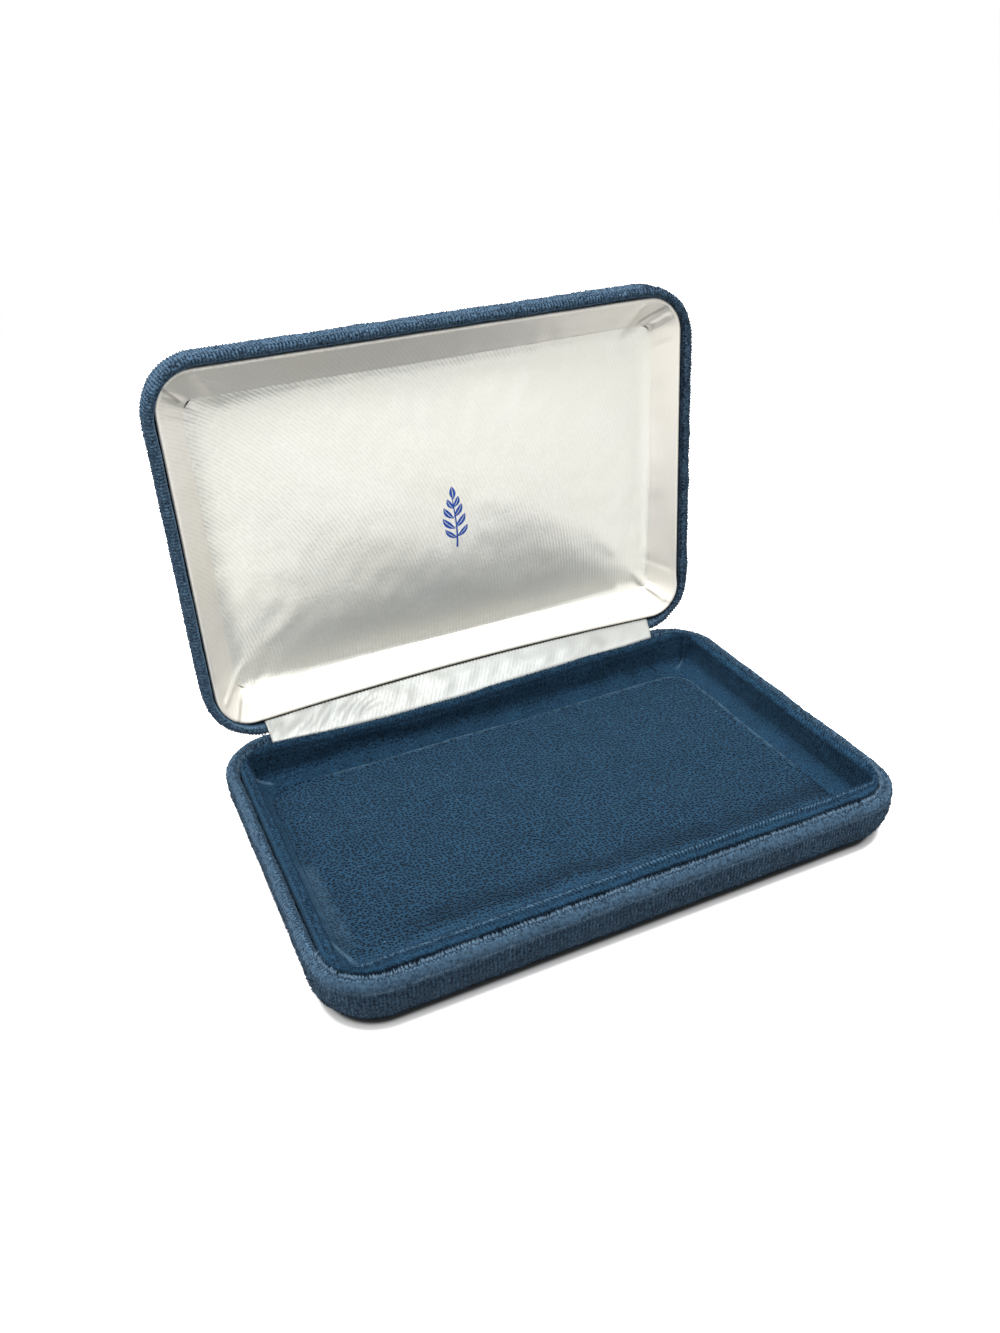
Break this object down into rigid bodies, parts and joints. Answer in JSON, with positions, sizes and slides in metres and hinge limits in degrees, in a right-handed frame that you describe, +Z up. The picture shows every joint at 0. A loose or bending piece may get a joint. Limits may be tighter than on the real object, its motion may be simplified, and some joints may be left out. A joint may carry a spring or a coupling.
{
  "type": "drafting instrument case",
  "caption": "Hinged clamshell case standing open: blue velvet shells, a velvet tray with a rolled rim, a cushioned white satin lid lining and a satin strip over the hinges.",
  "frame": {"origin": "middle of the flat underside of the base, on the surface the case stands on", "axes": "+X along the case's length to the right, -Y towards the front, +Y towards the hinge, +Z up"},
  "size_m": [0.165, 0.1349, 0.1284],
  "materials": {
    "outer_velvet": "ribbed blue cotton velvet, worn paler on the upper walls",
    "tray_velvet": "blue velvet, brushed smooth",
    "floor_velvet": "blue velvet with a dotted ground showing through",
    "satin": "white satin with a soft sheen and fine diagonal lines",
    "wadding": "cotton wadding",
    "card": "grey-brown card",
    "shell_board": "moulded shell, matte",
    "hinge_metal": "brass plate",
    "steel": "plain steel",
    "rivet_metal": "plain steel"
  },
  "bodies": {
    "base": {"base_shell": "shell_board", "base_velvet": "outer_velvet", "tray_wall_card": "card", "tray_wall_velvet": "tray_velvet", "floor_card": "card", "floor_velvet": "floor_velvet", "hinge_strip_satin": "satin", "left_base_leaf": "hinge_metal", "left_pin": "steel", "left_spring": "steel", "left_base_rivet_outer": "rivet_metal", "left_base_rivet_inner": "rivet_metal", "left_spring_rivet": "rivet_metal", "right_base_leaf": "hinge_metal", "right_pin": "steel", "right_spring": "steel", "right_base_rivet_outer": "rivet_metal", "right_base_rivet_inner": "rivet_metal", "right_spring_rivet": "rivet_metal"},
    "lid": {"lid_shell": "shell_board", "lid_velvet": "outer_velvet", "lid_border_card": "card", "lid_border_satin": "satin", "lid_board": "card", "lid_wadding": "wadding", "lid_cushion_satin": "satin", "left_lid_leaf": "hinge_metal", "left_lid_rivet_outer": "rivet_metal", "left_lid_rivet_inner": "rivet_metal", "right_lid_leaf": "hinge_metal", "right_lid_rivet_outer": "rivet_metal", "right_lid_rivet_inner": "rivet_metal"}
  },
  "joints": [
    {"name": "lid_hinge", "type": "hinge", "parent": "base", "child": "lid", "pos_m": [0, 0.0556, 0.01645], "axis": [1, 0, 0], "range_deg": [0, 92], "deforming": ["hinge_strip_satin"]}
  ]
}
